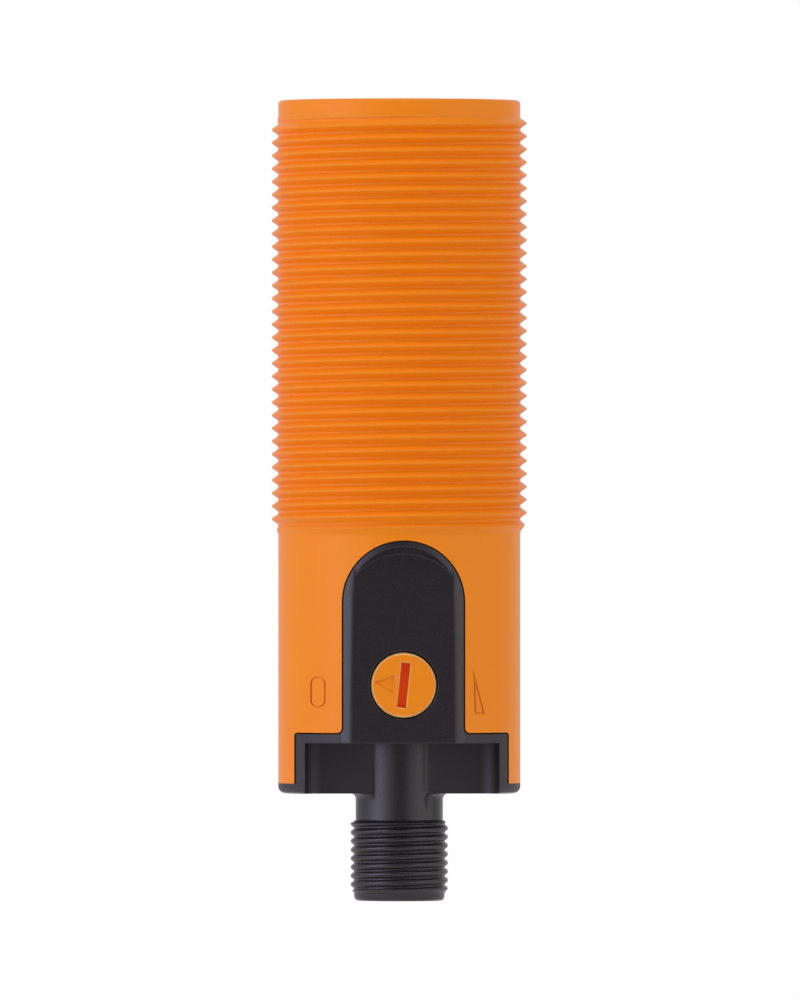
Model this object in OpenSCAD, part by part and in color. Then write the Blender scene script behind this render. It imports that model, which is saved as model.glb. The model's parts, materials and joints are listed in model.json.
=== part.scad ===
// Tubular photoelectric sensor: a threaded plastic barrel with the sensing face on top,
// an end cap with the sensitivity adjuster in its tongue, and a pin connector below.
// Z is the barrel's axis, the front with the adjuster faces -Y, and z = 0 is the
// connector's open end. Millimetres throughout.

/* [Barrel] */
// Overall length, from the connector's open end to the sensing face's rim
overall_length = 92.5; // [86:0.5:111]
// Outside diameter over the barrel's thread crests
thread_d = 29.8; // [27:0.1:35.8]
// Pitch of the barrel's thread
thread_pitch = 1.5; // [1.2:0.1:1.8]
// Radial height of the barrel's thread
thread_depth = 0.9; // [0.7:0.01:1.05]
// Wall of the barrel's smooth part
sleeve_wall = 2; // [1.7:0.1:2.4]
// Height of the smooth collar above the thread
collar_h = 2.4; // [1.5:0.1:4]

/* [Cut-out and tongue] */
// Width of the arched slot
slot_w = 14.2; // [12:0.1:17]
// Height of the arched slot's top above the sleeve's lower end
slot_h = 28.06; // [26:0.1:34]
// Width of the opening at the foot of the slot
foot_w = 24.74; // [23.6:0.1:25.4]
// Height of that opening above the sleeve's lower end
foot_h = 5.9; // [5:0.1:7]
// Distance from the barrel's axis to the tongue's flat
flat_y = 12.75; // [12.4:0.05:13.4]
// Gap between the cut-out and the tongue
tongue_gap = 0.15; // [0.05:0.01:0.2]

/* [Adjuster] */
// Diameter of the adjuster's head
knob_d = 7.52; // [6.3:0.02:9]
// Height of the adjuster's axis above the roof of the cap's pocket
knob_rise = 5.2; // [5:0.1:8]
// Width of the screwdriver slot
driver_w = 1.06; // [0.8:0.02:1.3]
// Length of the screwdriver slot
driver_l = 5.2; // [4:0.1:6]
// Clockwise turn of the adjuster as delivered, in degrees
knob_turn = 6; // [0:1:20]

/* [Connector] */
// Outside diameter over the connector's thread crests
plug_d = 11.85; // [11:0.05:14.2]
// Pitch of the connector's thread
plug_pitch = 1; // [0.8:0.05:1.2]
// Number of thread crests on the connector
plug_crests = 8; // [6:1:9]
// Diameter of the connector's plain neck
neck_d = 10.1; // [9.8:0.05:10.8]
// Length of the connector below the cap's flange
plug_l = 12.42; // [12.2:0.02:15]
// Diameter of the circle of contact pins
pin_circle_d = 5; // [4.4:0.1:5.4]
// Diameter of a contact pin
pin_d = 1; // [0.8:0.05:1.2]

/* [Optics] */
// Thickness of the front lens disc
lens_t = 2.5; // [2:0.1:3.2]
// Height of the optics holder below the lens
optics_h = 21.5; // [18:0.5:26]
// Distance of each optical axis from the barrel's axis
optic_x = 5; // [4.6:0.1:5.4]

/* [Hidden] */
$fn = 96;
over = 1;                       // how far a cutting shape runs past the solid

// barrel
crest_r = thread_d / 2;
barrel_r = crest_r - thread_depth;
bore_r = barrel_r - sleeve_wall;
flange_t = 1.18;                // cap's flange, below the sleeve
flange_z = plug_l;
sleeve_z = flange_z + flange_t; // lower end of the sleeve
thread_top = overall_length - collar_h;
thread_z = sleeve_z + slot_h + 0.94; // lower end of the barrel's thread
crest_count = floor((thread_top - thread_z) / thread_pitch);
crest_land = thread_pitch / 6;
rim_round = 0.45;               // rounded outer edge of the sensing end
seat_r = bore_r + 0.85;         // counterbore that takes the lens
lens_recess = 0.5;
seal_t = 0.5;
lens_z = overall_length - lens_recess - lens_t;
seat_z = lens_z - seal_t;
lens_fit = 0.05;                // radial gap round the lens

// cut-out
foot_z = sleeve_z + foot_h;
slot_top = sleeve_z + slot_h;
slot_r = slot_w / 2;
arch_z = slot_top - slot_r;
cut_y = 4;                      // the cut-out reaches this near the axis plane
slot_corner_r = 0.55;
foot_corner_r = 0.35;
mark_t = 0.12;                  // depth of the engraved marks
mark_w = 0.16;                  // stroke of the engraved marks
oblong_x = -9.75;               // places of the two marks
wedge_x = 8.7;
wedge = [[-0.67, 2.5], [0.69, -2.5], [-0.47, -2.5]];

// end cap
cap_fit = 0.05;
cap_r = bore_r - cap_fit;
cap_wall = 2;
cap_bore_r = cap_r - cap_wall;
cap_top = slot_top + 5.3;
tongue_r = barrel_r - 0.04;
flange_round = 0.85;
pocket_w = foot_w - 2.34;
pocket_y = 4.1;                 // the pocket's floor, from the axis plane
pocket_corner_r = 2.1;          // where the pocket's floor meets its side walls
pocket_top = foot_z - 1.2;
roof_z = pocket_top + 1.5;      // top of the pocket's roof
web_t = 1.5;                    // wall behind the pocket's floor
back_floor_z = flange_z + 2.1;
tube_wall = 0.4;                // the neck's tube inside the cap, beyond the neck
flat_end_r = 8.5;               // arc that ends the tongue's flat
flat_end_z = slot_top - 0.6;    // top of that arc
flat_slope = 0.95;              // how far the flat's end wall leans
oring_d = 1.1 + cap_fit;
groove_w = 1.9;
groove_z = cap_top - 2.9;
fillet_r = 0.7;                 // where the neck meets the flange
pocket_fillet_r = 1.8;          // where the neck meets the pocket's floor

// connector
plug_r = plug_d / 2;
plug_root_r = plug_r - 0.65;
neck_r = neck_d / 2;
plug_land = plug_pitch / 5;
plug_lead = 1.2;                // plain end below the first crest
plug_thread_top = plug_lead + plug_crests * plug_pitch;
socket_r = 4.4;
socket_top = plug_l + 0.58;
wire_bore_r = 3.6;
carrier_z = 8.5;
carrier_seal_t = 0.4;
key_w = 1.1;
key_t = 0.5;
pin_tip_z = 1.1;
pin_tail_z = socket_top + 2;
wire_r = 0.45;
wire_end_z = roof_z + 0.8;
pin_xy = pin_circle_d / 2 / sqrt(2);
pin_places = [[-pin_xy, -pin_xy], [pin_xy, -pin_xy], [-pin_xy, pin_xy], [pin_xy, pin_xy]];

// optics
holder_r = bore_r - 0.1;
optics_z = lens_z - optics_h;   // the holder's lower face
septum = 1.2;
optics_floor = 2;
board_t = 1.6;
optics_board_z = optics_z - board_t;
led_r = 1.5;

// main board
board_y = -1;                   // front face of the main board
board_back = board_y + board_t;
board_w = 2 * cap_bore_r - 1.6;
header_w = 15;
header_t = 2.5;
header_pins = 6;
header_pitch = 2.54;

// adjuster, along its own axis with the head's face at 0
knob_r = knob_d / 2;
knob_z = roof_z + knob_rise;
mark_z = knob_z - 0.8;          // height of the marks beside the adjuster
knob_bore_r = knob_r + 0.17;
head_t = 1.95;
head_bevel = 0.22;
head_y = flat_y - 0.02;
shank_r = 2.6;
shank_fit = 0.05;
shank_end = 5.55;
tube_end = 5.5;                 // inner end of the adjuster's tube in the cap
tube_r = 4.4;
groove_at = 3.2;
adjuster_groove_w = 1;
adjuster_groove_r = 1.9;
clip_t = 0.4;
stem_r = 1.5;
rotor_r = 2.1;
trimmer_w = 7;
trimmer_t = 4.4;
trimmer_front = board_y - trimmer_t;
blade_w = 0.9;
status_y = bore_r - 3.55;

// ---- shared shapes ----

// A solid of revolution's outline with a thread of ring ridges between two heights
function ridge_points(r0, r1, z0, pitch, count, land) = [
    for (i = [0 : count - 1], k = [0 : 3])
        [k == 0 || k == 3 ? r0 : r1,
         z0 + pitch * (i + 0.5) + [-0.5 * pitch + land / 2, -land / 2, land / 2,
                                   0.5 * pitch - land / 2][k]]
];

// Turns a shape drawn along +Z so that it lies along +Y, inwards from the front
module inwards(y) {
    translate([0, -y, 0]) rotate([-90, 0, 0]) children();
}

// The cut-out's outline as seen from the front, g smaller all round
module cutout_outline(g) {
    low = sleeve_z - 5;
    hw = foot_w / 2 - g;
    top = foot_z - g;
    corner = foot_corner_r - g;
    translate([g - slot_r, low]) square([slot_w - 2 * g, arch_z - low]);
    translate([0, arch_z]) circle(slot_r - g);
    difference() {
        translate([-hw, low]) square([2 * hw, top - low]);
        for (s = [-1, 1]) difference() {
            translate([s * (hw - corner / 2), top - corner / 2])
                square([corner + 0.01, corner + 0.01], center = true);
            translate([s * (hw - corner), top - corner]) circle(corner);
        }
    }
    // rounded corners of the sleeve's two tabs
    for (s = [-1, 1]) difference() {
        translate([s * (slot_r + slot_corner_r / 2 - g / 2), foot_z + slot_corner_r / 2 - g / 2])
            square([slot_corner_r + g, slot_corner_r + g], center = true);
        translate([s * (slot_r + slot_corner_r), foot_z + slot_corner_r])
            circle(slot_corner_r + g);
    }
}

module cutout_block(g) {
    translate([0, -cut_y - g, 0]) rotate([90, 0, 0])
        linear_extrude(barrel_r + over) cutout_outline(g);
}

// An upright oblong, drawn as an outline
module oblong_mark() {
    difference() {
        oblong(1.7, 3.6);
        oblong(1.7 - 2 * mark_w, 3.6 - 2 * mark_w);
    }
}

module oblong(w, h) {
    for (s = [-1, 1]) translate([0, s * (h - w) / 2]) circle(d = w);
    square([w, h - w], center = true);
}

// A slender wedge, drawn as an outline: the triangle less one shrunk about its incentre
module wedge_mark() {
    sides = [for (i = [0 : 2]) norm(wedge[(i + 1) % 3] - wedge[(i + 2) % 3])];
    total = sides[0] + sides[1] + sides[2];
    middle = (sides[0] * wedge[0] + sides[1] * wedge[1] + sides[2] * wedge[2]) / total;
    inradius = (wedge[1][0] - wedge[2][0]) * (wedge[0][1] - wedge[2][1]) / total;
    difference() {
        polygon(wedge);
        polygon([for (p = wedge) middle + (p - middle) * (1 - mark_w / inradius)]);
    }
}

// A chip-like block lying on the main board: side is -1 for its front, 1 for its back
module on_board(x, z, side, size) {
    y = side < 0 ? board_y - size[1] : board_back;
    translate([x - size[0] / 2, y, z - size[2] / 2]) cube(size);
}

// A block with a metal end cap at each end, lying on the main board
module end_capped(x, z, side, size) {
    on_board(x, z, side, [size[0], size[1], size[2] * 0.6]);
    for (s = [-1, 1])
        on_board(x, z + s * size[2] * 0.4, side, [size[0] + 0.1, size[1] + 0.05, size[2] * 0.2]);
}

// A block with legs down its two long sides, lying on the main board
module legged(x, z, side, size, legs, pitch) {
    lift = 0.15;
    y = side < 0 ? board_y - lift - size[1] : board_back + lift;
    translate([x - size[0] / 2, y, z - size[2] / 2]) cube(size);
    for (s = [-1, 1], i = [0 : legs - 1]) {
        leg_z = z + (i - (legs - 1) / 2) * pitch;
        leg_y = side < 0 ? board_y - size[1] / 2 : board_back;
        translate([x + s * (size[0] / 2 + 0.35) - 0.4, leg_y, leg_z - pitch / 4])
            cube([0.8, size[1] / 2, pitch / 2]);
    }
}

// ---- barrel ----

module sleeve_outline() {
    polygon(concat(
        [[bore_r, sleeve_z], [barrel_r, sleeve_z]],
        ridge_points(barrel_r, crest_r, thread_top - crest_count * thread_pitch,
                     thread_pitch, crest_count, crest_land),
        [[barrel_r, overall_length - rim_round],
         [barrel_r - rim_round, overall_length], [seat_r, overall_length],
         [seat_r, seat_z], [bore_r, seat_z]]));
    intersection() {
        translate([barrel_r - rim_round, overall_length - rim_round]) circle(rim_round);
        translate([barrel_r - rim_round, overall_length - rim_round])
            square([rim_round, rim_round]);
    }
}

module threaded_sleeve() {
    color("darkorange") difference() {
        rotate_extrude() sleeve_outline();
        cutout_block(0);
        difference() {
            rotate([90, 0, 0]) linear_extrude(barrel_r + over) {
                translate([oblong_x, mark_z]) oblong_mark();
                translate([wedge_x, mark_z]) wedge_mark();
            }
            cylinder(r = barrel_r - mark_t, h = overall_length);
        }
    }
}

module front_lens() {
    bulge = 2;                  // how far each lens stands out of the disc's back
    lens_radius = 16;
    color("dimgray") {
        translate([0, 0, lens_z]) cylinder(r = seat_r - lens_fit, h = lens_t);
        for (s = [-1, 1]) intersection() {
            translate([0, 0, lens_z - bulge]) cylinder(r = holder_r - 1.6, h = bulge + 0.5);
            translate([s > 0 ? septum / 2 + 0.15 : -septum / 2 - 0.15 - holder_r, -holder_r,
                       lens_z - bulge])
                cube([holder_r, 2 * holder_r, bulge + 0.5]);
            translate([s * optic_x, 0, lens_z - bulge + lens_radius]) sphere(lens_radius);
        }
    }
}

module lens_seal() {
    color("black") translate([0, 0, seat_z]) difference() {
        cylinder(r = seat_r - lens_fit, h = seal_t);
        translate([0, 0, -over]) cylinder(r = bore_r, h = seal_t + 2 * over);
    }
}

// ---- optics ----

module optics_holder() {
    chamber_z = optics_z + optics_floor;
    color("#222222") difference() {
        translate([0, 0, optics_z]) cylinder(r = holder_r, h = optics_h);
        for (s = [-1, 1]) intersection() {
            translate([0, 0, chamber_z])
                cylinder(r1 = holder_r - 3.4, r2 = holder_r - 1.1, h = optics_h);
            translate([s > 0 ? septum / 2 : -septum / 2 - holder_r, -holder_r, chamber_z])
                cube([holder_r, 2 * holder_r, optics_h]);
        }
        translate([optic_x, 0, optics_z - over]) cylinder(r = led_r + 0.1, h = optics_floor + 2 * over);
        translate([-optic_x - 3.1, -3.1, optics_z - over])
            cube([6.2, 6.2, optics_floor + 2 * over]);
        // flats that pass the potting compound
        for (s = [-1, 1])
            translate([-holder_r, s > 0 ? holder_r - 0.6 : -holder_r - over + 0.6, optics_z - over])
                cube([2 * holder_r, over, optics_floor + over]);
    }
}

module emitter_led() {
    color("lightblue") translate([optic_x, 0, optics_z]) {
        cylinder(r = led_r, h = 2.6);
        translate([0, 0, 2.6]) sphere(led_r);
    }
    color("silver") for (s = [-1, 1])
        translate([optic_x + s * 0.64, 0, optics_board_z + 0.05])
            cylinder(r = 0.25, h = board_t);
}

module emitter_collar() {
    color("#333333") translate([optic_x, 0, optics_z + optics_floor]) difference() {
        cylinder(r = 2.3, h = 1.2);
        translate([0, 0, -over]) cylinder(r = led_r + 0.05, h = 1.2 + 2 * over);
    }
}

module receiver_photodiode() {
    color("#1c1c2a") translate([-optic_x - 2, -2, optics_z]) cube([4, 4, 1.1]);
    color("silver") for (s = [-1, 1])
        translate([-optic_x + s * 1.2, 0, optics_board_z + 0.05])
            cylinder(r = 0.25, h = board_t);
}

module receiver_shield() {
    sheet = 0.2;
    h = optics_floor - 0.05;
    color("lightgray") translate([-optic_x, 0, optics_z]) difference() {
        translate([-3, -3, 0]) cube([6, 6, h]);
        translate([sheet - 3, sheet - 3, -over]) cube([6 - 2 * sheet, 6 - 2 * sheet, h - sheet + over]);
        cylinder(r = 1.4, h = h + over);
    }
}

module optics_board() {
    hole_r = 0.4;
    color("darkgreen") difference() {
        translate([0, 0, optics_board_z]) cylinder(r = holder_r - 0.4, h = board_t);
        for (p = [optic_x - 0.64, optic_x + 0.64, -optic_x - 1.2, -optic_x + 1.2])
            translate([p, 0, optics_board_z - over]) cylinder(r = hole_r, h = board_t + 2 * over);
        for (i = [0 : header_pins - 1])
            translate([(i - (header_pins - 1) / 2) * header_pitch, board_back + header_t / 2,
                       optics_board_z - over])
                cylinder(r = 0.5, h = board_t + 2 * over);
    }
}

module board_header() {
    color("#202020") translate([-header_w / 2, board_back, optics_board_z - header_t])
        cube([header_w, header_t, header_t]);
    color("gold") for (i = [0 : header_pins - 1])
        translate([(i - (header_pins - 1) / 2) * header_pitch, board_back + header_t / 2,
                   optics_board_z - 0.5])
            cylinder(r = 0.32, h = board_t + 0.4);
}

// ---- electronics ----

module main_board() {
    color("darkgreen") translate([-board_w / 2, board_y, roof_z])
        cube([board_w, board_t, optics_board_z - roof_z]);
}

module control_chip() {
    color("#1a1a1a") legged(0, roof_z + 31.2, -1, [7, 1.2, 7], 8, 0.8);
}

module resonator() {
    color("silver") on_board(7, optics_board_z - 16, -1, [2.5, 1, 3.2]);
}

module voltage_regulator() {
    color("#1a1a1a") legged(-3.6, roof_z + 13.2, 1, [3.5, 1.5, 6.5], 3, 2.3);
}

module output_transistor(i) {
    color("#1a1a1a") legged([-4, 4][i], roof_z + 20.4, 1, [2.6, 1.2, 4.4], 2, 2.4);
}

module capacitor(i) {
    height = [roof_z + 22.7, roof_z + 22.7, optics_board_z - 9.4][i];
    color("goldenrod") end_capped([-4.2, 4.2, 6.2][i], height, -1, [3, 2.2, 5.6]);
}

module resistor(i) {
    color("#303030") end_capped(-6 + i * 2.4, roof_z + 15, -1, [1.25, 0.5, 2.2]);
}

module suppressor_diode(i) {
    color("#252525") end_capped(2.6 + i * 2.2, roof_z + 14, 1, [1.7, 1.1, 3.4]);
}

module status_led() {
    led_end = roof_z + 8;
    lead_z = led_end + 1.6;
    dome_z = roof_z + 5.2;
    color("lightyellow") translate([0, status_y, 0]) {
        translate([0, 0, dome_z]) sphere(led_r);
        translate([0, 0, dome_z]) cylinder(r = led_r, h = led_end - dome_z);
    }
    color("silver") for (s = [-1, 1]) {
        translate([s * 0.64, status_y, led_end - 0.1]) cylinder(r = 0.25, h = lead_z - led_end + 0.1);
        translate([s * 0.64, status_y, lead_z]) sphere(0.25);
        translate([s * 0.64, board_back, lead_z]) rotate([-90, 0, 0])
            cylinder(r = 0.25, h = status_y - board_back);
    }
}

module light_guide() {
    color("whitesmoke") translate([0, status_y, flange_z])
        cylinder(r = led_r, h = roof_z + 3.6 - flange_z);
}

// ---- adjuster ----

module trimmer_body() {
    color("royalblue") difference() {
        translate([-trimmer_w / 2, trimmer_front, knob_z - trimmer_w / 2])
            cube([trimmer_w, trimmer_t, trimmer_w]);
        translate([0, 0, knob_z]) inwards(-trimmer_front + over)
            cylinder(r = rotor_r + 0.05, h = 2.5 + over);
    }
}

module trimmer_rotor() {
    color("ivory") translate([0, 0, knob_z]) rotate([0, knob_turn, 0]) inwards(-trimmer_front)
        difference() {
            cylinder(r = rotor_r, h = 2.45);
            translate([-blade_w / 2 - 0.05, -rotor_r, -over])
                cube([blade_w + 0.1, 2 * rotor_r, over + 1.3]);
        }
}

module adjuster_head() {
    intersection() {
        cylinder(r = knob_r, h = head_t);
        cylinder(r1 = knob_r - head_bevel, r2 = knob_r - head_bevel + head_t, h = head_t);
    }
}

module adjuster_screw() {
    driver_t = 0.9;
    arrow_t = 0.15;
    stem_l = head_y + trimmer_front - shank_end - clip_t - 0.3;
    color("orange") translate([0, 0, knob_z]) rotate([0, knob_turn, 0]) inwards(head_y)
        difference() {
            union() {
                adjuster_head();
                translate([0, 0, head_t - 0.1]) cylinder(r = shank_r, h = shank_end - head_t + 0.1);
                translate([0, 0, shank_end - 0.1]) cylinder(r = stem_r, h = clip_t + 0.2);
                translate([0, 0, shank_end + clip_t + 0.02])
                    cylinder(r = rotor_r, h = stem_l + 0.28);
                translate([-blade_w / 2, -rotor_r + 0.1, shank_end + clip_t + stem_l])
                    cube([blade_w, 2 * rotor_r - 0.2, 1.4]);
            }
            translate([-driver_w / 2, -driver_l / 2, -over])
                cube([driver_w, driver_l, driver_t + over]);
            // arrow that points away from the slot
            translate([0, 0, -over]) linear_extrude(arrow_t + over)
                polygon([[-3.35, 0], [-1.1, 1], [-1.1, -1]]);
            translate([0, 0, groove_at]) difference() {
                cylinder(r = shank_r + over, h = adjuster_groove_w);
                translate([0, 0, -over])
                    cylinder(r = adjuster_groove_r, h = adjuster_groove_w + 2 * over);
            }
        }
}

module adjuster_seal() {
    section = shank_r + shank_fit - 0.02 - adjuster_groove_r;
    color("#151515") translate([0, 0, knob_z]) inwards(head_y)
        translate([0, 0, groove_at + adjuster_groove_w / 2])
            rotate_extrude() translate([adjuster_groove_r + section / 2, 0]) circle(d = section);
}

module adjuster_clip() {
    color("silver") translate([0, 0, knob_z]) rotate([0, knob_turn, 0]) inwards(head_y)
        translate([0, 0, shank_end + 0.01]) difference() {
            cylinder(r = 3.1, h = clip_t);
            translate([0, 0, -over]) cylinder(r = stem_r, h = clip_t + 2 * over);
            translate([-stem_r * 0.8, 0, -over]) cube([stem_r * 1.6, 5, clip_t + 2 * over]);
        }
}

// ---- end cap ----

module flange_solid() {
    rotate_extrude() intersection() {
        translate([0, flange_z]) square([barrel_r, flange_t]);
        union() {
            translate([0, flange_z]) square([barrel_r - flange_round, flange_t]);
            translate([0, flange_z + flange_round]) square([barrel_r, flange_t]);
            translate([barrel_r - flange_round, flange_z + flange_round]) circle(flange_round);
        }
    }
}

module plug_outline() {
    end_round = 0.5;
    polygon(concat(
        [[0, 0], [plug_root_r - 0.05 - end_round, 0], [plug_root_r - 0.05, end_round],
         [plug_root_r, plug_lead - 0.1]],
        ridge_points(plug_root_r, plug_r, plug_lead, plug_pitch, plug_crests, plug_land),
        [[plug_root_r, plug_thread_top + 0.05], [neck_r, plug_thread_top + 0.1],
         [neck_r, flange_z + 0.5], [0, flange_z + 0.5]]));
    intersection() {
        translate([plug_root_r - 0.05 - end_round, end_round]) circle(end_round);
        translate([plug_root_r - 0.05 - end_round, 0]) square([end_round, end_round]);
    }
}

// Fillet between the neck and the flange's lower face, behind the pocket only
module neck_fillet() {
    difference() {
        rotate_extrude() difference() {
            translate([neck_r - 0.1, flange_z - fillet_r]) square([fillet_r + 0.1, fillet_r + 0.1]);
            translate([neck_r + fillet_r, flange_z - fillet_r]) circle(fillet_r);
        }
        translate([-neck_r - over, -neck_r - pocket_y - over, flange_z - over])
            cube([2 * neck_r + 2 * over, neck_r + over, 2 * over]);
    }
}

// Fillets where the neck stands out of the pocket's floor, sunk slightly into both
module pocket_fillets() {
    sink = 0.04;
    reach = neck_r + pocket_fillet_r - sink;
    cy = pocket_y + pocket_fillet_r - sink;
    cx = sqrt(reach * reach - cy * cy);
    tip = [cx, cy] * (neck_r - 2 * sink) / reach;
    translate([0, 0, flange_z]) linear_extrude(pocket_top - flange_z + 0.2)
        for (s = [-1, 1]) difference() {
            polygon([[s * cx, 0.2 - pocket_y], [s * cx, -cy], [s * tip[0], -tip[1]],
                     [s * (tip[0] - 0.3), 0.2 - pocket_y]]);
            translate([s * cx, -cy]) circle(pocket_fillet_r);
        }
}

// Front pocket seen from below, with rounded inner corners
module pocket_outline() {
    w = pocket_w / 2;
    r = pocket_corner_r;
    translate([-w, -barrel_r - over]) square([2 * w, barrel_r + over - pocket_y - r]);
    translate([-w + r, -barrel_r - over]) square([2 * (w - r), barrel_r + over - pocket_y]);
    for (s = [-1, 1]) translate([s * (w - r), -pocket_y - r]) circle(r);
}

module cap_solid() {
    flange_solid();
    translate([0, 0, sleeve_z - 0.1]) cylinder(r = cap_r, h = cap_top - sleeve_z + 0.1);
    intersection() {
        translate([0, 0, flange_z + flange_t / 2]) cylinder(r = tongue_r, h = cap_top - flange_z);
        cutout_block(tongue_gap);
    }
}

// What is open inside the cap: the hollow above, and the well behind the pocket
module cap_hollow() {
    translate([0, 0, roof_z]) difference() {
        cylinder(r = cap_bore_r, h = cap_top);
        // pairs of ribs that hold the main board's edges
        for (s = [-1, 1], y = [board_y - 0.85, board_back + 0.05])
            translate([s * (cap_bore_r - 0.7) - 1, y, -over])
                cube([2, 0.8, cap_top - roof_z - 3 + over]);
    }
    difference() {
        intersection() {
            translate([0, 0, back_floor_z]) cylinder(r = cap_bore_r, h = roof_z);
            translate([-bore_r, web_t - pocket_y, back_floor_z]) cube([2 * bore_r, bore_r + 5, roof_z]);
        }
        cylinder(r = neck_r + tube_wall, h = roof_z);
        translate([0, status_y, 0]) cylinder(r = led_r + 1, h = roof_z + 1);
    }
}

module end_cap() {
    color("#2a2a2e") union() {
        difference() {
            union() {
                difference() {
                    cap_solid();
                    cap_hollow();
                    translate([0, 0, flange_z - over])
                        linear_extrude(pocket_top - flange_z + over) pocket_outline();
                    // flat of the tongue, with its arched upper end
                    translate([-slot_w, -barrel_r - over, pocket_top - over])
                        cube([2 * slot_w, barrel_r + over - flat_y,
                              flat_end_z - flat_end_r - pocket_top + over]);
                    translate([0, 0, flat_end_z - flat_end_r]) inwards(tongue_r + 0.1)
                        cylinder(r1 = flat_end_r, r2 = flat_end_r - flat_slope,
                                 h = tongue_r + 0.1 - flat_y);
                }
                rotate_extrude() plug_outline();
                translate([0, 0, flange_z]) cylinder(r = neck_r, h = roof_z - flange_z);
                neck_fillet();
                pocket_fillets();
                // tube that guides the adjuster
                translate([0, 0, knob_z]) inwards(head_y - 1) cylinder(r = tube_r, h = tube_end - 1);
            }
            // socket for the mating plug, and the bore for the wires above it
            translate([0, 0, -over]) cylinder(r = socket_r, h = socket_top + over);
            cylinder(r = wire_bore_r, h = roof_z + over);
            translate([0, status_y, flange_z - over]) cylinder(r = led_r + 0.03, h = roof_z);
            translate([0, 0, groove_z]) difference() {
                cylinder(r = barrel_r, h = groove_w);
                translate([0, 0, -over]) cylinder(r = bore_r - oring_d, h = groove_w + 2 * over);
            }
            translate([0, 0, knob_z]) {
                inwards(barrel_r) cylinder(r = knob_bore_r, h = barrel_r - head_y + head_t + 0.05);
                inwards(head_y) cylinder(r = shank_r + shank_fit, h = shank_end + 2);
            }
        }
        // key inside the socket
        translate([-key_w / 2, socket_r - key_t, 0.9]) cube([key_w, key_t + 0.3, carrier_z - 0.9]);
    }
}

module end_cap_seal() {
    color("#151515") translate([0, 0, groove_z + groove_w / 2])
        rotate_extrude() translate([bore_r - oring_d / 2, 0]) circle(d = oring_d);
}

// ---- connector ----

module contact_carrier() {
    color("#3a3a3a") difference() {
        translate([0, 0, carrier_z])
            cylinder(r = socket_r - 0.02, h = socket_top - carrier_seal_t - carrier_z);
        for (p = pin_places) translate([p[0], p[1], carrier_z - over])
            cylinder(d = pin_d + 0.02, h = socket_top);
    }
}

module carrier_seal() {
    color("#151515") translate([0, 0, socket_top - carrier_seal_t]) difference() {
        cylinder(r = socket_r - 0.02, h = carrier_seal_t);
        translate([0, 0, -over]) cylinder(r = wire_bore_r, h = carrier_seal_t + 2 * over);
    }
}

module contact_pin(i) {
    p = pin_places[i];
    low = pin_tip_z + pin_d / 2;
    color("gold") translate([p[0], p[1], low]) {
        cylinder(d = pin_d, h = pin_tail_z - low);
        sphere(d = pin_d);
    }
}

module lead_wire(i) {
    p = pin_places[i];
    side = p[1] < 0 ? board_y : board_back;
    reach = abs(p[1] - side);
    color(["brown", "white", "royalblue", "black"][i]) {
        translate([p[0], p[1], pin_tail_z]) cylinder(r = wire_r, h = wire_end_z - pin_tail_z);
        translate([p[0], p[1], wire_end_z]) sphere(wire_r);
        translate([p[0], min(p[1], side), wire_end_z]) rotate([-90, 0, 0])
            cylinder(r = wire_r, h = reach);
    }
}

threaded_sleeve();
front_lens();
lens_seal();
optics_holder();
emitter_led();
emitter_collar();
receiver_photodiode();
receiver_shield();
optics_board();
board_header();
main_board();
control_chip();
resonator();
voltage_regulator();
for (i = [1 : 2])
    output_transistor(i - 1);
for (i = [1 : 3]) capacitor(i - 1);
for (i = [1 : 6]) resistor(i - 1);
for (i = [1 : 3])
    suppressor_diode(i - 1);
trimmer_body();
trimmer_rotor();
adjuster_screw();
adjuster_seal();
adjuster_clip();
status_led();
light_guide();
end_cap();
end_cap_seal();
contact_carrier();
for (i = [1 : 4]) contact_pin(i - 1);
carrier_seal();
for (i = [1 : 4]) lead_wire(i - 1);
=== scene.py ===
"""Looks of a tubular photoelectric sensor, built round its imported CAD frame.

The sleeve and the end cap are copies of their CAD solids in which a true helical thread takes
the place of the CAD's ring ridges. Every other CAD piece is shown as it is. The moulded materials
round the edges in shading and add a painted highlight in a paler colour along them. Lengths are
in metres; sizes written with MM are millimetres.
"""

import json
import math

import bpy
import numpy as np
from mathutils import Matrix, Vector


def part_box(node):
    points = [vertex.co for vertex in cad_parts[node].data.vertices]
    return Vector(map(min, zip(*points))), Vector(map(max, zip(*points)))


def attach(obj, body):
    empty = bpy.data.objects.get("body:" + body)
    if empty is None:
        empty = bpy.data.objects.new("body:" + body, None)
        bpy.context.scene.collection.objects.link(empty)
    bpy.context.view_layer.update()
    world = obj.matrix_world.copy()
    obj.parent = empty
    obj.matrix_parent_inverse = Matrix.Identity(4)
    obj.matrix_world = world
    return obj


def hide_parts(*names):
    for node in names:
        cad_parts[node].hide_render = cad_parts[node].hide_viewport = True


MM = 0.001

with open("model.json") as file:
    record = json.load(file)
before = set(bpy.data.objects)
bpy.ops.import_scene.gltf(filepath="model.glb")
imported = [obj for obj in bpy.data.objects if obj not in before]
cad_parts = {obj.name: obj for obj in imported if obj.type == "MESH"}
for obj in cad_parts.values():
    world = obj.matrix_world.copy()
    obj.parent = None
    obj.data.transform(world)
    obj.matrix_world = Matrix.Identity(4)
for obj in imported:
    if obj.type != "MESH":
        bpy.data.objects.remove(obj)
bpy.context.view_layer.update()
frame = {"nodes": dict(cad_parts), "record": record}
nodes = frame["nodes"]


# ---------------------------------------------------------------- sizes from the frame

def low_corner(name):
    return np.array(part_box(name)[0])


def high_corner(name):
    return np.array(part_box(name)[1])


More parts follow.
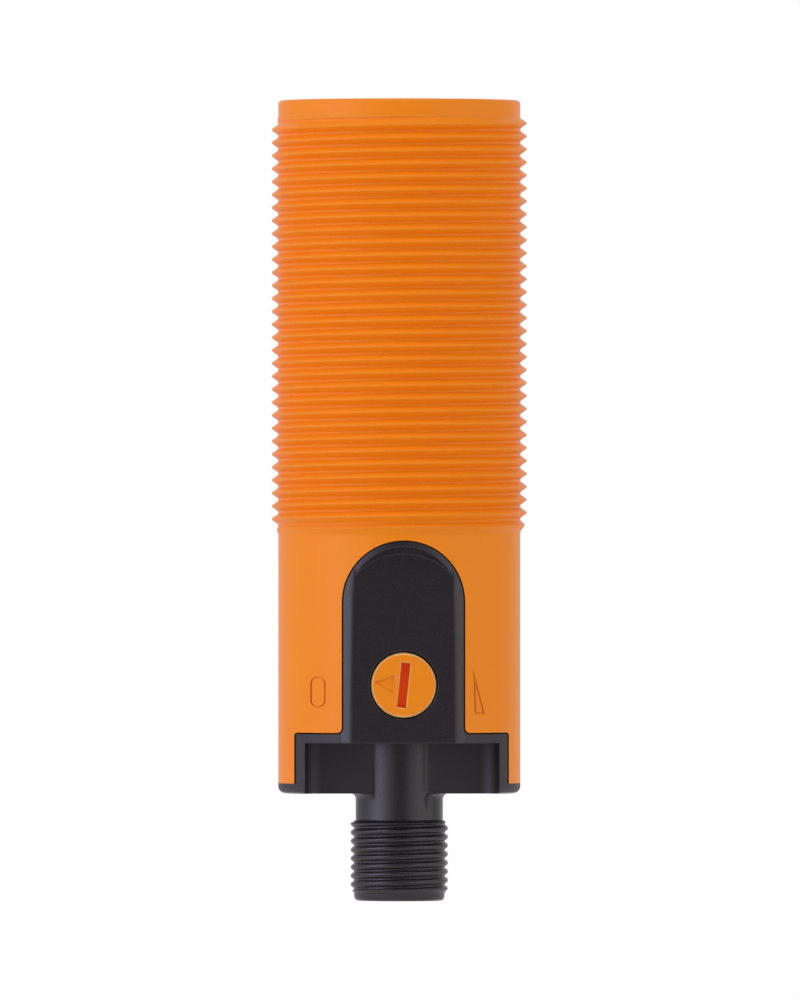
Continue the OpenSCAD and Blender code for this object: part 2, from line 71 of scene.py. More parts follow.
mounts = {m["name"]: m for m in frame["record"]["mounts"]}
BARREL_THREAD_R = mounts["m30_thread"]["dims"]["r_mm"] * MM
BARREL_R = BARREL_THREAD_R - 0.9 * MM         # the ridges stand 0.9 mm over the plain wall
PLUG_THREAD_R = mounts["m12_thread"]["dims"]["r_mm"] * MM
PLUG_ROOT_R = PLUG_THREAD_R - 0.65 * MM       # and 0.65 mm over the connector's root
SLEEVE_FOOT_Z = low_corner("threaded_sleeve")[2]
SLEEVE_TOP_Z = high_corner("threaded_sleeve")[2]
KNOB = (low_corner("adjuster_screw") + high_corner("adjuster_screw")) / 2
KNOB[1] = low_corner("adjuster_screw")[1]     # middle of the screw's outer face


# ---------------------------------------------------------------- shapes

SUNK = 0.3 * MM           # how far a thread's ends and back reach into the wall behind it
PROUD = 0.01 * MM         # how far a ring's root stands over the wall, so that it covers it


def thread_outline(pitch, depth, crest_land, root_land, crest_round, root_round, steps):
    """One pitch of a thread's outline, as rows of (height along the axis, height over the root).

    Crest in the middle at 0. Each corner between a land and a flank is an arc that starts
    level and turns until it has the flank's slope; lands and flanks are straight.
    """
    run = (pitch - crest_land - root_land) / 2
    slope = math.atan2(depth, run)
    t = np.linspace(0, 1, steps + 1)

    def corner(radius, sign):
        # arc with its two tangent lengths equal, laid over a corner at the origin
        reach = radius * math.tan(slope / 2)
        a = t * slope
        return np.column_stack([-reach + radius * np.sin(a), sign * radius * (1 - np.cos(a))])

    crest = corner(crest_round, -1) + [crest_land / 2, depth]
    root = corner(root_round, 1)[::-1] * [-1, 1] + [crest_land / 2 + run, 0]
    half = np.vstack([crest, root])
    return np.vstack([half[::-1] * [-1, 1], half])


def thread_ring(outline, pitch, root_r, low, high, low_rise, high_rise, crest_z, inner_r, columns):
    """Points and faces of a closed ring that carries a right-hand thread.

    Grid of rows by columns. A row follows one line of the outline round the axis:
    height = crest height + outline's height + pitch * (whole pitches + turn / full turn),
    radius = root radius + outline's rise. The rise is held under two cones that start at
    the thread's ends, so it runs out there and sinks into the wall below, where the heights
    are held as well. The end of a row meets the row one pitch higher. Two inner rows close
    the ring.
    """
    lines = len(outline)
    first = math.floor((low - crest_z) / pitch) - 2
    last = math.ceil((high - crest_z) / pitch) + 1
    whole = np.repeat(np.arange(first, last + 1), lines)
    along = np.tile(outline[:, 0], last + 1 - first)
    rise = np.tile(outline[:, 1], last + 1 - first)
    turn = np.arange(columns) / columns
    z = np.clip(crest_z + along[:, None] + pitch * (whole[:, None] + turn), low - SUNK, high + SUNK)
    over = np.minimum(rise[:, None], np.minimum((z - low) * low_rise, (high - z) * high_rise))
    angle = 2 * math.pi * turn
    r = np.vstack([root_r + over, inner_r + 0 * angle, inner_r + 0 * angle])
    z = np.vstack([z, high + SUNK + 0 * angle, low - SUNK + 0 * angle])
    points = np.stack([r * np.cos(angle), r * np.sin(angle), z], axis=-1).reshape(-1, 3)

    rows = len(along)
    i, j = np.meshgrid(np.arange(rows - 1), np.arange(columns - 1), indexing="ij")
    a = i * columns + j
    field = np.stack([a, a + 1, a + columns + 1, a + columns], axis=-1).reshape(-1, 4)
    i = np.arange(rows - 1 - lines)
    a = i * columns + columns - 1
    b = (i + lines) * columns
    seam = np.stack([a, b, b + columns, a + columns], axis=-1)
    below = np.array([rows - 1, rows, rows + 1])[:, None] * columns
    above = np.array([rows, rows + 1, 0])[:, None] * columns
    j, k = np.arange(columns), np.roll(np.arange(columns), -1)
    closing = np.stack([below + j, below + k, above + k, above + j], axis=-1).reshape(-1, 4)
    return points, np.vstack([field, seam, closing])


def merged(points, triangles):
    """Points within a tenth of a micrometre become one. Triangles that this folds flat, and
    pairs that it lays on each other, are left out. Also gives which triangles were kept."""
    _, first, where = np.unique(np.round(points / (0.0001 * MM)).astype(np.int64), axis=0,
                                return_index=True, return_inverse=True)
    triangles = where.ravel()[triangles]
    _, same, count = np.unique(np.sort(triangles, axis=1), axis=0, return_inverse=True,
                               return_counts=True)
    keep = (triangles != np.roll(triangles, 1, axis=1)).all(axis=1) & (count[same.ravel()] == 1)
    return points[first], triangles[keep], keep


def cad_surface(name):
    """Points, triangles and corner normals of a CAD node, its loose triangles merged.

    Each triangle keeps its own corner normals, so curved walls stay as smooth as in the
    exact solid.
    """
    mesh = nodes[name].data
    points = np.empty(len(mesh.vertices) * 3, np.float32)
    mesh.vertices.foreach_get("co", points)
    corners = np.empty(len(mesh.loops), np.int32)
    mesh.loops.foreach_get("vertex_index", corners)
    normals = np.empty(len(mesh.loops) * 3, np.float32)
    mesh.corner_normals.foreach_get("vector", normals)
    points, triangles, keep = merged(points.reshape(-1, 3).astype(float), corners.reshape(-1, 3))
    return points, triangles, normals.reshape(-1, 3, 3)[keep]


def without_ridges(points, triangles, normals, root_r, low, high):
    """Leaves out the triangles that lie wholly on a thread's ring ridges."""
    r = np.hypot(points[:, 0], points[:, 1])
    on_ridge = (r > root_r - 0.005 * MM) & (points[:, 2] > low) & (points[:, 2] < high)
    keep = ~on_ridge[triangles].all(axis=1)
    return points, triangles[keep], normals[keep]


def joined_piece(name, node, body, material, solid, ring):
    """Makes one shown piece of a CAD surface and a thread ring, for a CAD node.

    The CAD part keeps its own corner normals. The ring is shaded smooth, save at corners
    over 50 degrees.
    """
    solid_points, solid_faces, normals = solid
    ring_points, quads = ring
    ring_points, ring_faces, _ = merged(ring_points, np.vstack([quads[:, [0, 1, 2]],
                                                                quads[:, [0, 2, 3]]]))
    mesh = bpy.data.meshes.new(name)
    mesh.from_pydata(np.vstack([solid_points, ring_points]).tolist(), [],
                     np.vstack([solid_faces, ring_faces + len(solid_points)]).tolist())
    mesh.polygons.foreach_set("use_smooth", np.ones(len(mesh.polygons), bool))
    mesh.set_sharp_from_angle(angle=math.radians(50))
    corner = np.empty(len(mesh.loops) * 3, np.float32)
    mesh.corner_normals.foreach_get("vector", corner)
    corner[:normals.size] = normals.ravel()
    kept = mesh.attributes.new("custom_normal", "FLOAT_VECTOR", "CORNER")
    kept.data.foreach_set("vector", corner)
    mesh.update()
    mesh.materials.append(material)
    piece = bpy.data.objects.new(name, mesh)
    bpy.context.scene.collection.objects.link(piece)
    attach(piece, body)
    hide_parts(node)
    return piece


# ---------------------------------------------------------------- materials

def linear(code):
    """Linear colour with alpha from an sRGB hex code."""
    s = np.array([int(code[i:i + 2], 16) for i in (1, 3, 5)]) / 255
    rgb = np.where(s <= 0.04045, s / 12.92, ((s + 0.055) / 1.055) ** 2.4)
    return (*rgb.tolist(), 1.0)


def add(tree, kind, settings=(), links=()):
    """Adds a node. Settings name its own properties or its inputs; links feed its inputs."""
    node = tree.nodes.new(kind)
    for key, value in dict(settings).items():
        if isinstance(key, int) or key in node.inputs:
            node.inputs[key].default_value = value
        else:
            setattr(node, key, value)
    for key, socket in dict(links).items():
        tree.links.new(socket, node.inputs[key])
    return node


def new_material(name):
    """An empty node material with Object coordinates scaled to millimetres."""
    mat = bpy.data.materials.new(name)
    mat.use_nodes = True
    tree = mat.node_tree
    tree.nodes.clear()
    place = add(tree, "ShaderNodeTexCoord").outputs["Object"]
    mm = add(tree, "ShaderNodeMapping", {"Scale": (1000, 1000, 1000)}, {"Vector": place})
    return mat, tree, mm.outputs["Vector"]


def close_material(mat, tree, shader):
    add(tree, "ShaderNodeOutputMaterial", {}, {"Surface": shader.outputs[0]})
    return mat


def moulded_plastic(name, colour, deep, edge_highlight, roughness, ior=1.5, level=0.5, grain_mm=0.35,
                    grain=0.004, edge_mm=0.15, matt=None):
    """Injection-moulded plastic: the colour drifts a little with the melt's flow, the mould's
    fine spark-eroded grain breaks the gloss, and faint sink waves bend it. Edges are rounded
    in shading as the mould's are, and a paler colour is painted along them, convex and concave
    alike, as a painted highlight. Where matt gives (r, y, z, roughness), what lies outside
    radius r, behind y and above z is duller."""
    mat, tree, mm = new_material(name)
    drift = add(tree, "ShaderNodeTexNoise", {"Scale": 0.08, "Detail": 3}, {"Vector": mm})
    tint = add(tree, "ShaderNodeMix", {"data_type": "RGBA", 6: linear(colour), 7: linear(deep)},
               {0: drift.outputs["Fac"]})
    rounded = add(tree, "ShaderNodeBevel", {"samples": 6, "Radius": edge_mm * MM})
    flat = add(tree, "ShaderNodeNewGeometry")
    turn = add(tree, "ShaderNodeVectorMath", {"operation": "DOT_PRODUCT"},
               {0: rounded.outputs["Normal"], 1: flat.outputs["Normal"]})
    # painted highlight: the third colour is mixed in where the rounded normal turns from the flat
    # one, at convex and concave edges alike
    edge_highlight_mask = add(tree, "ShaderNodeMapRange", {"From Min": 0.995, "From Max": 0.85, "To Max": 1.0},
                  {"Value": turn.outputs["Value"]})
    with_painted_highlight = add(tree, "ShaderNodeMix", {"data_type": "RGBA", 7: linear(edge_highlight)},
                {0: edge_highlight_mask.outputs["Result"], 6: tint.outputs[2]})
    fine = add(tree, "ShaderNodeTexNoise", {"Scale": 1 / grain_mm, "Detail": 4, "Roughness": 0.6},
               {"Vector": mm})
    gloss = add(tree, "ShaderNodeMapRange", {"To Min": roughness * 0.85, "To Max": roughness * 1.15},
                {"Value": fine.outputs["Fac"]})
    dull = gloss.outputs["Result"]
    if matt:
        parts = add(tree, "ShaderNodeSeparateXYZ", {}, {0: mm})
        across = add(tree, "ShaderNodeVectorMath", {"operation": "MULTIPLY", 1: (1, 1, 0)}, {0: mm})
        away = add(tree, "ShaderNodeVectorMath", {"operation": "LENGTH"}, {0: across.outputs[0]})
        *limits, matt_roughness = matt
        values = (away.outputs["Value"], parts.outputs["Y"], parts.outputs["Z"])
        past = [add(tree, "ShaderNodeMath", {"operation": "GREATER_THAN", 1: limit}, {0: value})
                for limit, value in zip(limits, values)]
        in_two = add(tree, "ShaderNodeMath", {"operation": "MULTIPLY"},
                     {0: past[0].outputs[0], 1: past[1].outputs[0]})
        in_all = add(tree, "ShaderNodeMath", {"operation": "MULTIPLY"},
                     {0: in_two.outputs[0], 1: past[2].outputs[0]})
        dull = add(tree, "ShaderNodeMix", {"data_type": "FLOAT", 3: matt_roughness},
                   {0: in_all.outputs[0], 2: dull}).outputs[0]
    waves = add(tree, "ShaderNodeTexNoise", {"Scale": 0.25, "Detail": 1}, {"Vector": mm})
    sink = add(tree, "ShaderNodeBump", {"Strength": 0.15, "Distance": 0.02 * MM},
               {"Height": waves.outputs["Fac"], "Normal": rounded.outputs["Normal"]})
    bump = add(tree, "ShaderNodeBump", {"Strength": 0.5, "Distance": grain * MM},
               {"Height": fine.outputs["Fac"], "Normal": sink.outputs["Normal"]})
    shader = add(tree, "ShaderNodeBsdfPrincipled", {"IOR": ior, "Specular IOR Level": level},
                 {"Base Color": with_painted_highlight.outputs[2], "Roughness": dull,
                  "Normal": bump.outputs["Normal"]})
    return close_material(mat, tree, shader)


def screw_plastic(name, colour, deep, rim, roughness, centre, rim_r):
    """The adjuster's orange plastic: glossy, with fine flow mottle. A pale colour is painted on
    its rim's chamfer and along the slot's edges within 1 mm of the middle, as painted highlights.
    The slot's floor is painted darker and redder, as painted shade in the recess."""
    mat, tree, mm = new_material(name)
    flow = add(tree, "ShaderNodeTexNoise", {"Scale": 0.9, "Detail": 3}, {"Vector": mm})
    tint = add(tree, "ShaderNodeMix", {"data_type": "RGBA", 6: linear(colour), 7: linear(deep[0])},
               {0: flow.outputs["Fac"]})
    centred = add(tree, "ShaderNodeMapping", {"Location": (-centre[0], -centre[1], -centre[2]),
                                              "Scale": (1, 1, 1)}, {"Vector": mm})
    parts = add(tree, "ShaderNodeSeparateXYZ", {}, {0: centred.outputs["Vector"]})
    level = add(tree, "ShaderNodeCombineXYZ", {}, {"X": parts.outputs["X"], "Z": parts.outputs["Z"]})
    away = add(tree, "ShaderNodeVectorMath", {"operation": "LENGTH"}, {0: level.outputs[0]})
    # painted highlight: the pale colour over the rim's chamfer
    rim_highlight_mask = add(tree, "ShaderNodeMapRange", {"From Min": rim_r - 0.1, "From Max": rim_r},
                 {"Value": away.outputs["Value"]})
    # painted shade: the slot's floor turns darker and redder with depth, for the shade and orange
    # inter-reflection inside the slot
    slot_floor_shade_mask = add(tree, "ShaderNodeMapRange", {"From Min": 0.15, "From Max": 0.8},
               {"Value": parts.outputs["Y"]})
    rounded = add(tree, "ShaderNodeBevel", {"samples": 6, "Radius": 0.22 * MM})
    flat = add(tree, "ShaderNodeNewGeometry")
    turn = add(tree, "ShaderNodeVectorMath", {"operation": "DOT_PRODUCT"},
               {0: rounded.outputs["Normal"], 1: flat.outputs["Normal"]})
    edge_highlight = add(tree, "ShaderNodeMapRange", {"From Min": 0.997, "From Max": 0.95, "To Max": 1.0},
               {"Value": turn.outputs["Value"]})
    middle = add(tree, "ShaderNodeMath", {"operation": "COMPARE", 1: 0.0, 2: 1.0},
                 {0: parts.outputs["X"]})
    # painted highlight: the pale colour along the slot's edges, within 1 mm of the middle
    slot_edge_highlight = add(tree, "ShaderNodeMath", {"operation": "MULTIPLY"},
               {0: edge_highlight.outputs["Result"], 1: middle.outputs[0]})
    with_slot_edge_highlight = add(tree, "ShaderNodeMix", {"data_type": "RGBA", 7: linear(rim)},
                  {0: slot_edge_highlight.outputs[0], 6: tint.outputs[2]})
    with_slot_floor_shade = add(tree, "ShaderNodeMix", {"data_type": "RGBA", 7: linear(deep[1])},
                 {0: slot_floor_shade_mask.outputs["Result"], 6: with_slot_edge_highlight.outputs[2]})
    with_painted_highlight = add(tree, "ShaderNodeMix", {"data_type": "RGBA", 7: linear(rim)},
                {0: rim_highlight_mask.outputs["Result"], 6: with_slot_floor_shade.outputs[2]})
    fine = add(tree, "ShaderNodeTexNoise", {"Scale": 3, "Detail": 4}, {"Vector": mm})
    gloss = add(tree, "ShaderNodeMapRange", {"To Min": roughness * 0.85, "To Max": roughness * 1.15},
                {"Value": fine.outputs["Fac"]})
    bump = add(tree, "ShaderNodeBump", {"Strength": 0.4, "Distance": 0.004 * MM},
               {"Height": fine.outputs["Fac"], "Normal": rounded.outputs["Normal"]})
    shader = add(tree, "ShaderNodeBsdfPrincipled", {"IOR": 1.5, "Specular IOR Level": 0.2},
                 {"Base Color": with_painted_highlight.outputs[2], "Roughness": gloss.outputs["Result"],
                  "Normal": bump.outputs["Normal"]})
    return close_material(mat, tree, shader)


def moulded_rubber(name, colour, roughness):
    """Moulded nitrile rubber: matt, with a fine dusty mottle and a soft grain."""
    mat, tree, mm = new_material(name)
    mottle = add(tree, "ShaderNodeTexNoise", {"Scale": 1.2, "Detail": 5}, {"Vector": mm})
    tone = add(tree, "ShaderNodeMix", {"data_type": "RGBA", 6: linear(colour), 7: linear("#2B2A29")},
               {0: mottle.outputs["Fac"]})
    bump = add(tree, "ShaderNodeBump", {"Strength": 0.4, "Distance": 0.006 * MM},
               {"Height": mottle.outputs["Fac"]})
    shader = add(tree, "ShaderNodeBsdfPrincipled",
                 {"Roughness": roughness, "IOR": 1.52, "Specular IOR Level": 0.35},
                 {"Base Color": tone.outputs[2], "Normal": bump.outputs["Normal"]})
    return close_material(mat, tree, shader)


def clear_plastic(name, colour, roughness, ior, clearness):
    """Cast or polished clear plastic: light passes through, tinted; the surface has faint flow
    waves and a few fine scuffs."""
    mat, tree, mm = new_material(name)
    flow = add(tree, "ShaderNodeTexNoise", {"Scale": 0.4, "Detail": 2}, {"Vector": mm})
    scuff = add(tree, "ShaderNodeTexNoise", {"Scale": 6, "Detail": 6}, {"Vector": mm})
    gloss = add(tree, "ShaderNodeMapRange", {"To Min": roughness * 0.6, "To Max": roughness * 1.6},
                {"Value": scuff.outputs["Fac"]})
    tint = add(tree, "ShaderNodeMix", {"data_type": "RGBA", 6: linear(colour[0]),
                                       7: linear(colour[1])}, {0: flow.outputs["Fac"]})
    bump = add(tree, "ShaderNodeBump", {"Strength": 0.2, "Distance": 0.01 * MM},
               {"Height": flow.outputs["Fac"]})
    shader = add(tree, "ShaderNodeBsdfPrincipled",
                 {"IOR": ior, "Transmission Weight": clearness},
                 {"Base Color": tint.outputs[2], "Roughness": gloss.outputs["Result"],
                  "Normal": bump.outputs["Normal"]})
    return close_material(mat, tree, shader)


def metal(name, colour, dull, roughness, across):
    """Plated metal: a tone that wanders slightly, with fine lines left by drawing or turning.
    Lines lie along the directions in which the scale is small, in lines per millimetre."""
    mat, tree, mm = new_material(name)
    lines_at = add(tree, "ShaderNodeMapping", {"Scale": across}, {"Vector": mm})
    lines = add(tree, "ShaderNodeTexNoise", {"Scale": 1, "Detail": 3},
                {"Vector": lines_at.outputs["Vector"]})
    cloud = add(tree, "ShaderNodeTexNoise", {"Scale": 0.7, "Detail": 2}, {"Vector": mm})
    tone = add(tree, "ShaderNodeMix", {"data_type": "RGBA", 6: linear(colour), 7: linear(dull)},
               {0: cloud.outputs["Fac"]})
    gloss = add(tree, "ShaderNodeMapRange", {"To Min": roughness * 0.7, "To Max": roughness * 1.3},
                {"Value": lines.outputs["Fac"]})
    bump = add(tree, "ShaderNodeBump", {"Strength": 0.3, "Distance": 0.003 * MM},
               {"Height": lines.outputs["Fac"]})
    shader = add(tree, "ShaderNodeBsdfPrincipled", {"Metallic": 1.0},
                 {"Base Color": tone.outputs[2], "Roughness": gloss.outputs["Result"],
                  "Normal": bump.outputs["Normal"]})
    return close_material(mat, tree, shader)


def board_laminate(name):
    """Glass-fibre board under green solder mask: the weave of 0.5 mm yarns shows faintly
    through the mask as squares, and the mask is glossy with slight orange peel."""
    mat, tree, mm = new_material(name)
    across = add(tree, "ShaderNodeTexWave", {"Scale": 0.31, "bands_direction": "X"}, {"Vector": mm})
    along = add(tree, "ShaderNodeTexWave", {"Scale": 0.31, "bands_direction": "Z"}, {"Vector": mm})
    weave = add(tree, "ShaderNodeMath", {"operation": "MULTIPLY"},
                {0: across.outputs["Fac"], 1: along.outputs["Fac"]})
    tone = add(tree, "ShaderNodeMix", {"data_type": "RGBA", 6: linear("#0E4A26"),
                                       7: linear("#1B6B39")}, {0: weave.outputs[0]})
    peel = add(tree, "ShaderNodeTexNoise", {"Scale": 3, "Detail": 2}, {"Vector": mm})
    bump = add(tree, "ShaderNodeBump", {"Strength": 0.3, "Distance": 0.004 * MM},
               {"Height": peel.outputs["Fac"]})
    shader = add(tree, "ShaderNodeBsdfPrincipled", {"Roughness": 0.3, "IOR": 1.52},
                 {"Base Color": tone.outputs[2], "Normal": bump.outputs["Normal"]})
    return close_material(mat, tree, shader)


# Coloured PBT, satin from a fine spark-eroded mould; strongly tinted, so its gloss is weak
# its third colour is a painted edge highlight
orange_pbt = moulded_plastic("orange_moulded_pbt", "#FC9018", "#F88A12", "#F29038", 0.36,
                             level=0.2, edge_mm=0.1)
# Black PBT of the same grain; black lets the studio's reflections show. The pocket's walls,
# round the neck and behind the tongue's face, are duller, as a deep place in a mould leaves them
NECK_R, TONGUE_Y, POCKET_Z = 5.2, -12.0, 12.6
# its third colour, #2A262E, is a painted edge highlight
black_pbt = moulded_plastic("black_moulded_pbt", "#1F171C", "#1C1419", "#2A262E", 0.28, level=0.62,
                            edge_mm=0.2, matt=(NECK_R, TONGUE_Y, POCKET_Z, 0.5))
# The screw is moulded glossier and yellower, with a painted highlight on its rim 3.6 mm from its
# middle and painted shade on its slot's floor
orange_screw_pbt = screw_plastic("orange_moulded_screw_pbt", "#FA921E", ("#F68C18", "#FA6208"),
                                 "#FFC67A", 0.34, KNOB / MM, 3.6)

# Slot in the record: material. Moulded packages and cases differ in tint and dullness only.
# In each moulded_plastic below, the third colour is a painted edge highlight
finishes = {
    "orange_sleeve": orange_pbt,
    "orange_adjuster": orange_screw_pbt,
    "black_cap": black_pbt,
    # Dark red acrylic passes infra-red light and looks nearly black until lit
    "lens": clear_plastic("dark_red_polished_acrylic", ("#8A1420", "#7A0F1A"), 0.04, 1.49, 0.8),
    "seal": moulded_rubber("black_moulded_nitrile_rubber", "#1A1A1A", 0.7),
    # Glass-filled polyamide, matt black, for holders and the contact carrier
    "black_moulding": moulded_plastic("black_moulded_polyamide", "#1C1C1D", "#181819", "#222223",
                                      0.5, grain=0.008),
    "clear_epoxy": clear_plastic("clear_cast_epoxy", ("#F0F4F2", "#E6ECE8"), 0.08, 1.54, 0.9),
    "dark_epoxy": moulded_plastic("dark_moulded_epoxy", "#161617", "#1B1B1C", "#202021", 0.6,
                                  grain_mm=0.15, grain=0.006),
    "tinned_steel": metal("tinned_steel_sheet", "#C9C9CA", "#B4B5B8", 0.3, (0.3, 0.3, 8)),
    "board": board_laminate("green_glass_fibre_board"),
    "capacitor": moulded_plastic("ochre_moulded_epoxy", "#C9973A", "#BE8D33", "#D0A04A", 0.45),
    "resistor": moulded_plastic("glazed_black_ceramic", "#1D1D20", "#242428", "#8A8A8E", 0.25,
                                ior=1.6, grain_mm=0.2),
    "trimmer_blue": moulded_plastic("blue_moulded_thermoset", "#1C4FA0", "#18468F", "#2A5FB0",
                                    0.4),
    "trimmer_ivory": moulded_plastic("ivory_moulded_polyamide", "#E6E0CC", "#DED6BF", "#EEE9DA",
                                     0.45),
    # Turned brass under a thin gold flash: rings 0.1 mm apart round the pins
    "gilt_brass": metal("gold_flashed_turned_brass", "#E3BC62", "#CFA54E", 0.22, (0.2, 0.2, 10)),
    "wire_brown": moulded_plastic("brown_extruded_pvc", "#5A3420", "#523019", "#5A3420", 0.5),
    "wire_white": moulded_plastic("white_extruded_pvc", "#E9E8E3", "#E1E0DA", "#E9E8E3", 0.5),
    "wire_blue": moulded_plastic("blue_extruded_pvc", "#1F56A6", "#1A4C96", "#1F56A6", 0.5),
    "wire_black": moulded_plastic("black_extruded_pvc", "#19191A", "#151516", "#19191A", 0.5),
}
slot_of = {part["node"]: part["material_slot"] for part in frame["record"]["subparts"]}


# ---------------------------------------------------------------- the sleeve

def make_sleeve():
    """The sleeve with its M30 x 1.5 thread, from above the cut-out to below the collar."""
    pitch, depth = 1.5 * MM, 0.74 * MM
    low, high = SLEEVE_FOOT_Z + 28.82 * MM, SLEEVE_TOP_Z - 2.0 * MM
    low_rise, high_rise = 0.5, 1.3            # the run-outs' slopes, gentler below
    crest_z = SLEEVE_TOP_Z - 49.14 * MM       # height of a crest at the +X side
    solid = without_ridges(*cad_surface("threaded_sleeve"), BARREL_R, low, high)
    outline = thread_outline(pitch, depth, 0.18 * MM, 0.28 * MM, 0.16 * MM, 0.2 * MM, 3)
    thread = thread_ring(outline, pitch, BARREL_R + PROUD, low, high, low_rise, high_rise, crest_z,
                         BARREL_R - 0.5 * MM, 144)
    return joined_piece("threaded_barrel", "threaded_sleeve", "housing",
                        orange_pbt, solid, thread)


# ---------------------------------------------------------------- the end cap

def make_cap():
    """The end cap with the M12 x 1 thread of its connector."""
    pitch, depth = 1.0 * MM, 0.34 * MM
    low, high = 0.95 * MM, 9.14 * MM
    low_rise, high_rise = 0.8, 3.0
    crest_z = 1.39 * MM
    solid = without_ridges(*cad_surface("end_cap"), PLUG_ROOT_R, low, high)
    outline = thread_outline(pitch, depth, 0.36 * MM, 0.16 * MM, 0.34 * MM, 0.05 * MM, 4)
    thread = thread_ring(outline, pitch, PLUG_ROOT_R + PROUD, low, high, low_rise, high_rise,
                         crest_z, PLUG_ROOT_R - 0.4 * MM, 128)
    return joined_piece("connector_cap", "end_cap", "housing", black_pbt, solid,
                        thread)


make_sleeve()
make_cap()
for name, node in nodes.items():
    node.data.materials.clear()
    node.data.materials.append(finishes[slot_of[name]])


# ---------------------------------------------------------------- studio

def turned(azimuth):
    """Unit vector in the floor's plane: azimuth 0 points to the front, 90 to the right."""
    a = math.radians(azimuth)
    return Vector((math.sin(a), -math.cos(a), 0))


def softbox(name, azimuth, height, distance, width, tall, power, colour):
    """Area light at a turn round the barrel, facing the barrel's middle."""
    light = bpy.data.lights.new(name, "AREA")
    light.shape = "RECTANGLE"
    light.size, light.size_y = width, tall
    light.energy = power
    light.color = linear(colour)[:3]
    lamp = bpy.data.objects.new(name, light)
    lamp.location = turned(azimuth) * distance + Vector((0, 0, MIDDLE_Z + height))
    aim = Vector((0, 0, MIDDLE_Z)) - lamp.location
    lamp.rotation_euler = aim.to_track_quat("-Z", "Y").to_euler()
    bpy.context.scene.collection.objects.link(lamp)
    return lamp


def make_floor():
    """Pale floor: a disc a little below the sensor, as numpy rings by spokes. It is clear from
    below, so that the sensor can be looked at from there."""
    spokes, rings = 96, np.array([0.0005, 0.3, 0.6, 0.9])
    a = 2 * math.pi * np.arange(spokes) / spokes
    points = np.stack([rings[:, None] * np.cos(a), rings[:, None] * np.sin(a),
                       np.full((len(rings), spokes), FLOOR_Z)], axis=-1).reshape(-1, 3)
    i, j = np.meshgrid(np.arange(len(rings) - 1), np.arange(spokes), indexing="ij")
    p, q = i * spokes + j, i * spokes + (j + 1) % spokes
    faces = np.stack([p, p + spokes, q + spokes, q], axis=-1).reshape(-1, 4).tolist()
    faces.append(list(range(spokes)))
    mesh = bpy.data.meshes.new("pale_floor")
    mesh.from_pydata(points.tolist(), [], faces)
    floor = bpy.data.objects.new("pale_floor", mesh)
    bpy.context.scene.collection.objects.link(floor)
    mat, tree, mm = new_material("matt_white_paper")
    fibre = add(tree, "ShaderNodeTexNoise", {"Scale": 0.8, "Detail": 4}, {"Vector": mm})
    tone = add(tree, "ShaderNodeMix", {"data_type": "RGBA", 6: linear("#FFFCF5"),
                                       7: linear("#FBF8F1")}, {0: fibre.outputs["Fac"]})
    shader = add(tree, "ShaderNodeBsdfPrincipled", {"Roughness": 0.9, "IOR": 1.45},
                 {"Base Color": tone.outputs[2]})
    under = add(tree, "ShaderNodeNewGeometry").outputs["Backfacing"]
    clear = add(tree, "ShaderNodeBsdfTransparent")
    one_sided = add(tree, "ShaderNodeMixShader", {}, {0: under, 1: shader.outputs[0],
                                                      2: clear.outputs[0]})
    mesh.materials.append(close_material(mat, tree, one_sided))
    return floor


MIDDLE_Z = SLEEVE_TOP_Z / 2
FLOOR_Z = -0.06
scene = bpy.context.scene
scene.view_settings.view_transform = "Standard"
make_floor()

# White cloth tent round the sensor, with an opening in front and a bright window on the left.
# Each row is azimuth in degrees from the front, then brightness; the tent blends between them.
# It is brightest all round at the sensor's height, and dimmer straight up and down.
TENT = [(-180, 0.8), (-140, 0.45), (-110, 0.55), (-86, 1.0), (-68, 2.1), (-54, 2.0), (-40, 1.1),
        (-28, 0.65), (-14, 0.15), (0, 0.05), (14, 0.2), (26, 0.6), (42, 1.0), (60, 1.2),
        (86, 1.0), (104, 0.4), (140, 0.6), (180, 0.8)]


def blue_share(degrees):
    """Blue over red at a turn: the window on the left is coolest, the right side neutral."""
    if -100 < degrees < -30:
        return 1.3
    return 1.0 if degrees > 0 else 1.1


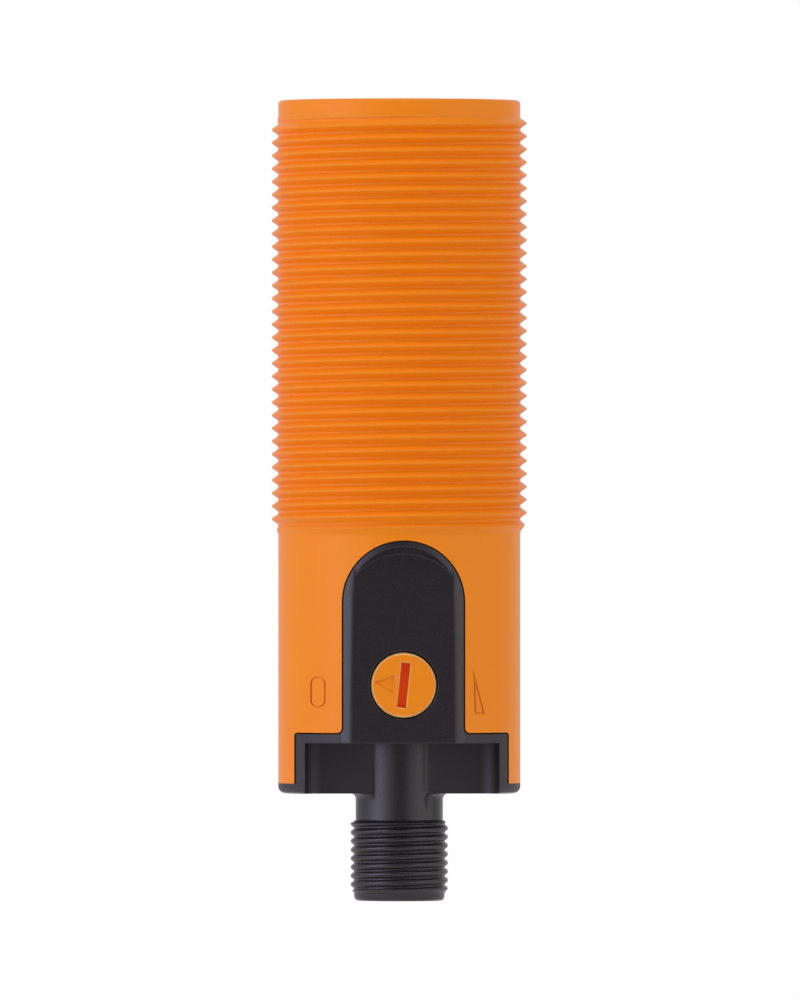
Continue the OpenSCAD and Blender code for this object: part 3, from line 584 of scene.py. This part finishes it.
world = bpy.data.worlds.new("studio")
world.use_nodes = True
tree = world.node_tree
tree.nodes.clear()
direction = add(tree, "ShaderNodeTexCoord").outputs["Generated"]
parts = add(tree, "ShaderNodeSeparateXYZ", {}, {0: direction})
front = add(tree, "ShaderNodeMath", {"operation": "MULTIPLY", 1: -1.0}, {0: parts.outputs["Y"]})
azimuth = add(tree, "ShaderNodeMath", {"operation": "ARCTAN2"},
              {0: parts.outputs["X"], 1: front.outputs[0]})
along = add(tree, "ShaderNodeMapRange", {"From Min": -math.pi, "From Max": math.pi},
            {"Value": azimuth.outputs[0]})
ramp = add(tree, "ShaderNodeValToRGB", {}, {"Fac": along.outputs["Result"]})
stops = ramp.color_ramp.elements
for place, (degrees, bright) in enumerate(TENT):
    stop = stops[0] if place == 0 else stops.new((degrees + 180) / 360)
    if place == len(TENT) - 1:
        stops.remove(stop)
        stop = stops[-1]
    stop.position = (degrees + 180) / 360
    # halved, because the ramp's colours stop at 1; the height's strength doubles them again
    stop.color = (bright / 2, bright / 2, bright * blue_share(degrees) / 2, 1)
steep = add(tree, "ShaderNodeMath", {"operation": "ABSOLUTE"}, {0: parts.outputs["Z"]})
height = add(tree, "ShaderNodeMapRange", {"From Min": 0.4, "From Max": 0.85, "To Min": 2.3,
                                          "To Max": 1.3}, {"Value": steep.outputs[0]})
soft = add(tree, "ShaderNodeBackground", {}, {"Color": ramp.outputs["Color"],
                                              "Strength": height.outputs["Result"]})
seen = add(tree, "ShaderNodeLightPath").outputs["Is Camera Ray"]
white = add(tree, "ShaderNodeBackground", {"Color": (1, 1, 1, 1), "Strength": 1.0})
both = add(tree, "ShaderNodeMixShader", {}, {0: seen, 1: soft.outputs[0], 2: white.outputs[0]})
add(tree, "ShaderNodeOutputWorld", {}, {"Surface": both.outputs[0]})
scene.world = world

softbox("overhead", 10, 0.55, 0.3, 0.3, 0.2, 0.5, "#FFFFFF")

# The camera stands level with the middle of the sensor, nearly square on, as from afar. Its
# frame is 800 wide and 1000 high, at 8.65 to the millimetre
DISTANCE = 2.5
TURN = -2.3
AIM = Vector((0.00008, 0, 0.04631))
VIEW_HEIGHT = 800 / 8.65 * MM * 1.25
FILM = 36
camera_data = bpy.data.cameras.new("camera")
camera_data.sensor_width = FILM
camera_data.lens = FILM * DISTANCE / VIEW_HEIGHT
camera_data.clip_end = 20
camera = bpy.data.objects.new("camera", camera_data)
camera.location = turned(TURN) * DISTANCE + AIM
camera.rotation_euler = (math.radians(90), 0, math.radians(TURN))
scene.collection.objects.link(camera)
scene.camera = camera
